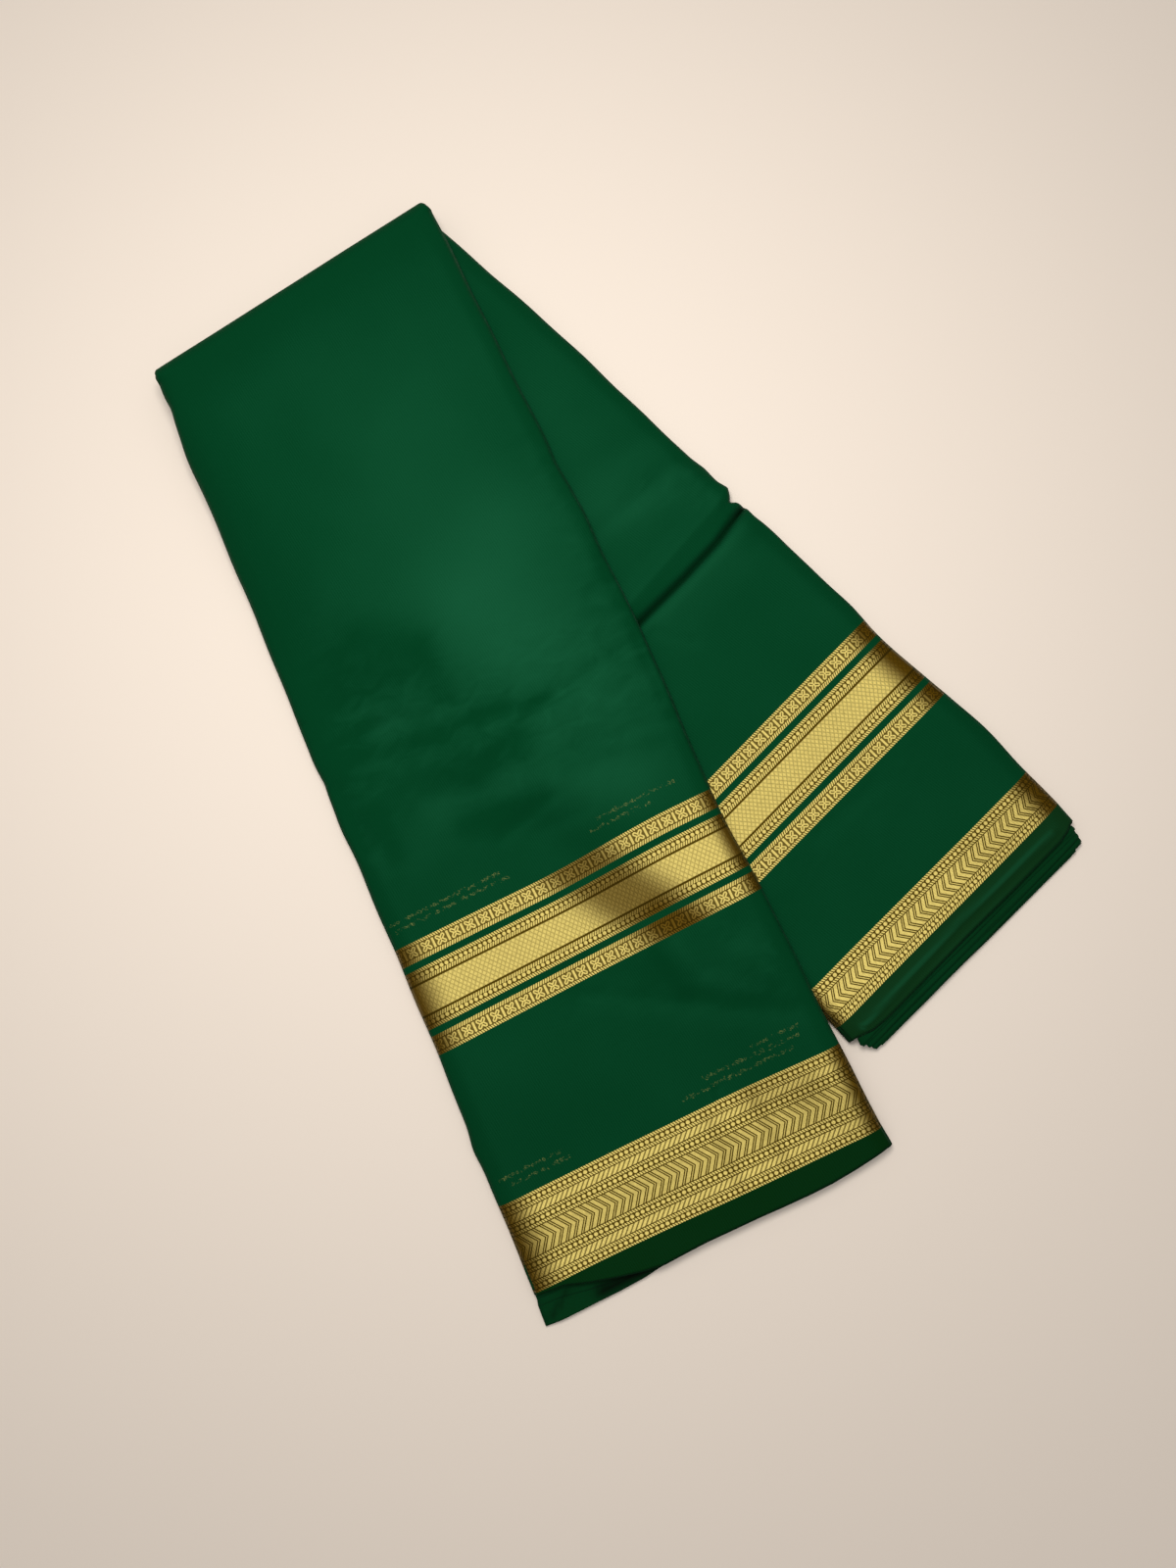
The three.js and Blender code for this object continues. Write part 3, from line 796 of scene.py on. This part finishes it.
# Sizes in the woven bands are in threads' units of the band, a unit being about 0.55 mm. One bead is
# BEAD units along the band, and every other motif is a whole number of half beads.
BEAD = 5.5
BEAD_FULL, BEAD_FADE = 2.4, 0.45  # a bead's brightness in its middle, and its loss with squared distance
TICK, TICK_SHARE = BEAD / 2, 0.64  # the share is what gold takes of a stitch's length
SLANT_TILT, LEAF_SHARE, LEAF_THREAD = 0.92, 0.68, (0.79, 0.88)
CHEVRON, STROKE_SHARE, STROKE_THREAD = 1.5 * BEAD, 0.52, (0.68, 0.83)
FLOWER, PETAL_REACH, PETAL_OUTSIDE, PETAL_INSIDE, FLOWER_EYE = 3 * BEAD, 4.5, 2.1, 0.55, 1.1
BAR_HALF, BAR_REACH = 1.25, 5.2
DIAGONAL = 0.7071  # the sine of 45 degrees
NET, NET_LINE, NET_DOT = 1.2 * BEAD, 0.40, 0.2
THREAD_FILL, STROKE_LESS, FLOWER_FILL = 0.6, 0.06, 0.08  # how full of gold the weaker places are
NET_DARK, NET_DIM = 0.46, 0.1  # what the net's lines and the rims of its dots lack
RING_LENGTH = 2.3  # millimetres from one faint ring to the next
RING_INSIDE, RING_OUTSIDE = 0.25, 0.95  # squares of a faint ring's radii


def beads(along, across, centre):
    """A row of round beads along a band."""
    over = ((along / BEAD).fract() - 0.5) * BEAD
    up = across - centre
    return (BEAD_FULL - (over * over + up * up) * BEAD_FADE).clamped()


def rings(along, away):
    """A row of beads in outline, in millimetres."""
    over = ((along / RING_LENGTH).fract() - 0.5) * RING_LENGTH
    return (over * over + away * away).between(RING_INSIDE, RING_OUTSIDE)


def ticks(along, across, slope):
    """Short slanted stitches."""
    return ((along - across * slope) / TICK).fract() < TICK_SHARE


def slants(along, across):
    """Slanted leaves with a thin thread between them."""
    share = ((along + across * SLANT_TILT) / BEAD).fract()
    return larger(share < LEAF_SHARE, share.between(*LEAF_THREAD) * THREAD_FILL)


def chevrons(along, across, bend, fill):
    """Angled strokes that turn at the middle of the row, each with a thin thread beside it."""
    share = ((along + abs(across) * bend) / CHEVRON).fract()
    thread = share.between(*STROKE_THREAD) * (fill - STROKE_LESS)
    return larger((share < STROKE_SHARE) * fill, thread)


def flowers(along, up):
    """Four-petalled flowers in outline with a bar between each two."""
    over = ((along / FLOWER).fract() - 0.5) * FLOWER
    first = abs(over + up) * DIAGONAL
    second = abs(over - up) * DIAGONAL
    near, far = smaller(first, second), larger(first, second)
    past = larger(far - PETAL_REACH, 0.0)
    petal = near * near + past * past
    outline = (petal < PETAL_OUTSIDE**2) - (petal < PETAL_INSIDE**2) * (far > FLOWER_EYE)
    bar = (abs(over) > FLOWER / 2 - BAR_HALF) * (abs(up) < BAR_REACH)
    return larger(larger(outline, bar), FLOWER_FILL)


def diamonds(along, across):
    """A net of fine crossed lines with a bright dot inside each diamond."""
    one = abs((along / BEAD + across / NET).fract() - 0.5)
    other = abs((along / BEAD - across / NET).fract() - 0.5)
    line = larger(one, other)
    return 1.0 - (line > NET_LINE) * NET_DARK - line.between(NET_DOT, NET_LINE) * NET_DIM


def woven_rows(distance, rows):
    """Sum of a table of rows: lowest distance, highest distance, pattern."""
    return total([distance.between(low, high) * pattern for low, high, pattern in rows])


def broad_border(along, across):
    """The broad border: gold mask and the region it covers."""
    away = abs(across)
    gold = woven_rows(away, [
        (0.0, 13.3, chevrons(along, across, 0.67, 0.8)),
        (14.4, 17.4, ticks(along, across, 0.5)),
        (18.2, 22.7, beads(along, away, 20.45)),
        (23.4, 26.1, ticks(along, across, 0.5)),
        (27.2, 35.1, slants(along, across)),
        (36.1, 39.4, ticks(along, across, 0.5)),
        (40.0, 44.5, beads(along, away, 42.2)),
        (45.3, 48.9, ticks(along, across, 0.5)),
    ])
    cover = across.between(-48.85, 47.75)
    return gold * cover, cover


def triple_band(along, across):
    """Two rows of flowers and two of beads on either side of a diamond band."""
    away = abs(across)
    gold = woven_rows(away, [
        (0.0, 14.7, diamonds(along, across)),
        (16.9, 20.8, ticks(along, across, -0.5)),
        (21.1, 25.2, beads(along, away, 23.05)),
        (26.0, 29.6, ticks(along, across, 0.5)),
        (36.5, 40.6, ticks(along, across, -0.5)),
        (41.2, 52.3, flowers(along, away - 46.8)),
        (52.9, 56.05, ticks(along, across, 0.5)),
    ])
    cover = away.between(36.5, 56.05) + (away < 29.6)
    return gold, cover


def narrow_border(along, across):
    """The narrow border. across runs from its field edge to its end edge."""
    gold = woven_rows(across, [
        (0.0, 3.3, ticks(along, across, 0.5)),
        (4.0, 8.4, beads(along, across, 6.2)),
        (9.2, 12.2, ticks(along, across, 0.5)),
        (13.2, 34.4, chevrons(along, across - 23.8, -0.68, 0.96)),
        (35.4, 38.4, ticks(along, across, -0.5)),
        (38.9, 42.8, beads(along, across, 40.8)),
        (43.3, 46.8, ticks(along, across, -0.5)),
    ])
    return gold, across.between(0.0, 46.8)


GREEN = (0.0005, 0.040, 0.0125)
GREEN_LIGHT = (0.0065, 0.088, 0.038)
GREEN_SELVEDGE = (0.0012, 0.023, 0.0035)
GREEN_SELVEDGE_BACK = (0.0035, 0.030, 0.0075)
# Painted shadow in the darkest troughs, such as the crease, and between the layer ends.
GREEN_SHADOW = (0.0004, 0.0035, 0.001)
GROUND = (0.078, 0.050, 0.0025)
# The ground of the bands in painted shade.
GROUND_IN_SHADE = (0.03, 0.018, 0.001)
GOLD = (0.95, 0.785, 0.235)
# The gold in painted shade.
GOLD_IN_SHADE = (0.135, 0.074, 0.004)
GHOST = (0.16, 0.19, 0.06)

# What the cloth's light is made of: noise scales to the metre, and how much each part counts.
CLOUD_SCALE, WORN_SCALE, FINE_SCALE, CREASE_SCALE = 17.0, 420.0, 1500.0, 105.0
BASE_LIGHT, CLOUD_LIGHT, CREASE_LIGHT, FINE_LIGHT, RIB_LIGHT = 0.115, 0.22, 0.68, 0.3, 0.15
CREASE_STRETCH = 0.55  # creases are longer along the stripes
DEEP_FROM = 0.25  # how far below nothing the light is where a furrow begins to look black
SELVEDGE_LIGHT = 0.4
RIB, RIB_SLANT = 1.35, 0.12  # millimetres from one rib of the crepe to the next, and their slant
# What gold adds to the surface, and how it wears.
GOLD_FULL, GOLD_WORN, GOLD_CLOUD = 0.97, 0.5, 0.25
METAL_GOLD, METAL_GROUND = 0.72, 0.12
ROUGH, ROUGH_FINE, ROUGH_GOLD = 0.68, 0.2, 0.28
GOLD_RELIEF, RIB_RELIEF = 1.2, 0.35
# Faint rows: noise scale and reach of what bends them, in millimetres, and what breaks them up.
GHOST_WARP_SCALE, GHOST_WARP, GHOST_WARP_AWAY = 330.0, 5.0, 0.7
GHOST_HOLES, GHOST_GAIN = 0.47, 3.4
LAYER_FINE_SCALE, LAYER_BROAD_SCALE, LAYER_ROUGH = 900.0, 30.0, 0.7
SHEEN_TINT = (0.25, 0.8, 0.5, 1.0)
CLOTH_INPUTS = {"IOR": 1.1, "Sheen Weight": 0.04, "Sheen Roughness": 0.4, "Sheen Tint": SHEEN_TINT}
LAYER_INPUTS = {"IOR": 1.12, "Sheen Weight": 0.05, "Sheen Tint": SHEEN_TINT}
CLOTH_BUMP = {"Strength": 0.4, "Distance": 0.00025}
LAYER_BUMP = {"Strength": 0.3, "Distance": 0.0002}


def new_material(name):
    """A new material, its node tree and its shader. The Fields made next belong to it."""
    material = bpy.data.materials.new(name)
    material.use_nodes = True
    Field.tree = material.node_tree
    return material, Field.tree, Field.tree.nodes["Principled BSDF"]


def set_inputs(node, values):
    for name, value in values.items():
        node.inputs[name].default_value = value


def add_bump(shader, height, values):
    bump = Field.tree.nodes.new("ShaderNodeBump")
    set_inputs(bump, values)
    Field.tree.links.new(height.socket, bump.inputs["Height"])
    Field.tree.links.new(bump.outputs[0], shader.inputs["Normal"])


def mixed(share, first, second):
    """Socket of two colours mixed by a Field. Each colour is a tuple or a socket."""
    node = Field.tree.nodes.new("ShaderNodeMix")
    node.data_type = "RGBA"
    Field.tree.links.new(share.socket, node.inputs["Factor"])
    slots = [s for s in node.inputs if s.type == "RGBA"]
    for slot, colour in zip(slots, (first, second)):
        if isinstance(colour, tuple):
            slot.default_value = (*colour, 1.0)
        else:
            Field.tree.links.new(colour, slot)
    return next(s for s in node.outputs if s.type == "RGBA")


def noise(vector, scale, detail=2.0, distortion=0.0):
    node = Field.tree.nodes.new("ShaderNodeTexNoise")
    set_inputs(node, {"Scale": scale, "Detail": detail, "Distortion": distortion})
    Field.tree.links.new(vector, node.inputs["Vector"])
    return Field(node.outputs[0])


def named_shade(name):
    """A number that the mesh holds for each point."""
    node = Field.tree.nodes.new("ShaderNodeAttribute")
    node.attribute_name = name
    return Field(node.outputs["Fac"])


def band_edge(along, start, stop, first, last):
    """Distance of a band's edge from the end, first at start and last at stop."""
    return along.smooth(start, stop) * (last - first) + first


def woven_band(along, distance, pattern, field_line, end_line, first, units, bead, shift):
    """Gold mask of a row of the bands' tables, and the region it covers."""
    field_edge, end_edge = band_edge(along, *field_line), band_edge(along, *end_line)
    across = (field_edge - distance) * units / (field_edge - end_edge) + first
    return pattern((along - shift) * (BEAD / bead), across)


def with_ghosts(colour, place, along, distance, ghosts):
    """The cloth's colour with the rows of gold thread that show through faintly."""
    warp = (noise(place, GHOST_WARP_SCALE, 1.0) - 0.5) * GHOST_WARP
    bent = distance - warp * GHOST_WARP_AWAY
    thread = total([
        rings(along + warp, bent - middle) * along.between(start, stop) for middle, start, stop in ghosts
    ])
    broken = (noise(place, WORN_SCALE, 3.0) - GHOST_HOLES).clamped() * thread * GHOST_GAIN
    return mixed(broken.clamped(), colour, GHOST)


def cloth_material(name, bands, ghosts, selvedge):
    """Green crepe with its woven gold bands."""
    material, tree, shader = new_material(name)
    uv = tree.nodes.new("ShaderNodeUVMap")
    uv.uv_map = "cloth"
    place = uv.outputs[0]
    split = tree.nodes.new("ShaderNodeSeparateXYZ")
    tree.links.new(place, split.inputs[0])
    along, distance = (Field(split.outputs[axis]) * (1 / MM) for axis in (0, 1))
    # What the mesh holds: painted light and shade, painted crumple shading, and painted shade on the bands.
    haze, crumple, band_shade = (named_shade(shade) for shade in ("haze", "crumple", "band_shade"))
    cloudy = noise(place, CLOUD_SCALE, 3.0) - 0.5
    worn = noise(place, WORN_SCALE) - 0.5
    fine = noise(place, FINE_SCALE, 1.0) - 0.5
    ribs = ((along + distance * RIB_SLANT) * (math.tau / RIB)).cos()
    drawn_out = tree.nodes.new("ShaderNodeCombineXYZ")
    tree.links.new((along * (CREASE_STRETCH * MM)).socket, drawn_out.inputs[0])
    tree.links.new((distance * MM).socket, drawn_out.inputs[1])
    creases = noise(drawn_out.outputs[0], CREASE_SCALE, 4.0, 0.8) - 0.5

    # The plain cloth's painted light and shade: the mesh's painted shading and crumple shading, with cloudy
    # tone.
    light = haze + cloudy * CLOUD_LIGHT + crumple * creases * CREASE_LIGHT + BASE_LIGHT
    # Where the painted light falls far below nothing, as in the crease, the cloth is painted nearly black
    # with shade.
    deep = (-DEEP_FROM - light).clamped()
    light = (light + fine * FINE_LIGHT + ribs * (worn + 0.5) * RIB_LIGHT).clamped()
    colour = mixed(deep, mixed(light, GREEN, GREEN_LIGHT), GREEN_SHADOW)
    border_end = band_edge(along, *bands[0][2])
    strip = mixed(light * SELVEDGE_LIGHT, selvedge, GREEN_LIGHT)
    colour = mixed(distance < border_end, colour, strip)
    if ghosts:
        colour = with_ghosts(colour, place, along, distance, ghosts)
    masks, regions = zip(*(woven_band(along, distance, *band) for band in bands))
    gold, cover = total(masks), total(regions)
    gold = (gold * (worn * GOLD_WORN + cloudy * GOLD_CLOUD + GOLD_FULL)).clamped()
    # Painted shade on the gold and its ground, where the cloth leans away from the light or rolls down at
    # the sides.
    lit = (1.0 - band_shade).clamped()
    ground = mixed(cover, colour, mixed(lit, GROUND_IN_SHADE, GROUND))
    bright = mixed(lit, GOLD_IN_SHADE, GOLD)
    tree.links.new(mixed(gold, ground, bright), shader.inputs["Base Color"])

    metal = (gold * METAL_GOLD + cover * METAL_GROUND).clamped()
    tree.links.new(metal.socket, shader.inputs["Metallic"])
    rough = fine * ROUGH_FINE + ROUGH - gold * ROUGH_GOLD
    tree.links.new(rough.socket, shader.inputs["Roughness"])
    set_inputs(shader, CLOTH_INPUTS)
    add_bump(shader, gold * GOLD_RELIEF + ribs * RIB_RELIEF + fine, CLOTH_BUMP)
    return material


def layers_material():
    """Plain cloth of the hidden layers' edges."""
    material, tree, shader = new_material("silk_layers")
    place = tree.nodes.new("ShaderNodeTexCoord").outputs["Object"]
    fine, broad = noise(place, LAYER_FINE_SCALE), noise(place, LAYER_BROAD_SCALE)
    colour = mixed((fine * 0.5 + broad * 0.5).clamped(), GREEN_SELVEDGE, GREEN)
    # Painted shadow between the layer ends, from the gap numbers the mesh holds.
    colour = mixed(named_shade("gap").clamped(), colour, GREEN_SHADOW)
    tree.links.new(colour, shader.inputs["Base Color"])
    rough = (fine - 0.5) * ROUGH_FINE + LAYER_ROUGH
    tree.links.new(rough.socket, shader.inputs["Roughness"])
    set_inputs(shader, LAYER_INPUTS)
    add_bump(shader, fine, LAYER_BUMP)
    return material


# Woven bands: pattern, its edge towards the field, its edge towards the end, first unit, units, bead
# length, shift. An edge is two places along the band and the distances from the end there.
FRONT_BANDS = [
    (broad_border, (-80, 80, 68.3, 67.4), (-80, 80, 17.8, 13.7), -48.85, 96.6, 3.19, 0.4),
    (triple_band, (-8, 82, 222.7, 226.2), (-80, 80, 161.0, 160.9), -56.05, 112.1, 3.035, 0.2),
]
BACK_BANDS = [
    (narrow_border, (-80, 80, 39.1, 38.6), (-80, 80, 13.1, 13.0), 0.0, 46.8, 3.165, 1.2),
    (triple_band, (-80, 80, 165.1, 165.6), (-80, 80, 103.1, 103.2), -56.05, 112.1, 3.03, 0.5),
]

# Rows of gold rings of the layer below, seen through the cloth: distance from the end, from, to.
FRONT_GHOSTS = [
    (76.6, -92, -56),
    (81.6, -98, -58),
    (76.2, 14, 84),
    (81.8, 30, 90),
    (86.6, 62, 92),
    (236.8, -92, -22),
    (232.4, -90, -18),
    (239.2, 42, 92),
    (234.4, 36, 74),
]
front_cloth.data.materials.append(
    cloth_material("silk_wrap", FRONT_BANDS, FRONT_GHOSTS, GREEN_SELVEDGE))
back_cloth.data.materials.append(
    cloth_material("silk_wrap_back", BACK_BANDS, [], GREEN_SELVEDGE_BACK))
hidden_layers.data.materials.append(layers_material())

for piece, slot, node in (
    (front_cloth, "silk_wrap", "front_stretch"),
    (back_cloth, "silk_wrap_back", "back_stretch"),
    (hidden_layers, "silk_layers", "inner_layers"),
):
    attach(piece, "root")
    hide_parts(node)


def add_camera():
    camera = placed("camera", bpy.data.cameras.new("camera"))
    camera.data.sensor_width = SENSOR
    camera.data.lens = SENSOR * FOCAL_PIXELS / PHOTO_HEIGHT
    back = np.array([0.0, -math.cos(ELEVATION), math.sin(ELEVATION)])
    camera.location = (LOOK_AT + back * CAMERA_DISTANCE) * MM
    camera.rotation_euler = (math.pi / 2 - ELEVATION, 0.0, 0.0)
    camera.data.clip_start = 0.01
    bpy.context.scene.camera = camera


def add_floor():
    mesh = bpy.data.meshes.new("table")
    corners = [(x * TABLE_HALF, y * TABLE_HALF, 0) for x, y in ((-1, -1), (1, -1), (1, 1), (-1, 1))]
    mesh.from_pydata(corners, [], [(0, 1, 2, 3)])
    floor = placed("table", mesh)
    floor.location.z = -TABLE_DROP
    material, _, shader = new_material("table")
    set_inputs(shader, {"Base Color": TABLE_COLOUR, "Roughness": TABLE_ROUGHNESS})
    mesh.materials.append(material)


def add_lights():
    """A wide, soft light overhead that fades towards the horizon, and a lamp that warms the middle."""
    scene = bpy.context.scene
    scene.view_settings.view_transform = "Standard"
    world = bpy.data.worlds.new("studio")
    scene.world = world
    world.use_nodes = True
    tree = world.node_tree
    Field.tree = tree
    place = tree.nodes.new("ShaderNodeTexCoord")
    split = tree.nodes.new("ShaderNodeSeparateXYZ")
    tree.links.new(place.outputs["Generated"], split.inputs[0])
    height = ((Field(split.outputs[2]) - SKY_FADE_FROM) / (SKY_FADE_TO - SKY_FADE_FROM)).clamped()
    bright = height * height * (SKY_TOP - SKY_LOW) + SKY_LOW
    background = tree.nodes["Background"]
    background.inputs["Color"].default_value = SKY_COLOUR
    tree.links.new(bright.socket, background.inputs["Strength"])
    data = bpy.data.lights.new("lamp", "AREA")
    data.shape = "DISK"
    data.size = LAMP_SIZE
    data.energy = LAMP_POWER
    data.color = LAMP_COLOUR
    lamp = placed("lamp", data)
    lamp.location = LAMP_AT
    lamp.visible_camera = False
    lamp.visible_glossy = False


add_camera()
add_floor()
add_lights()
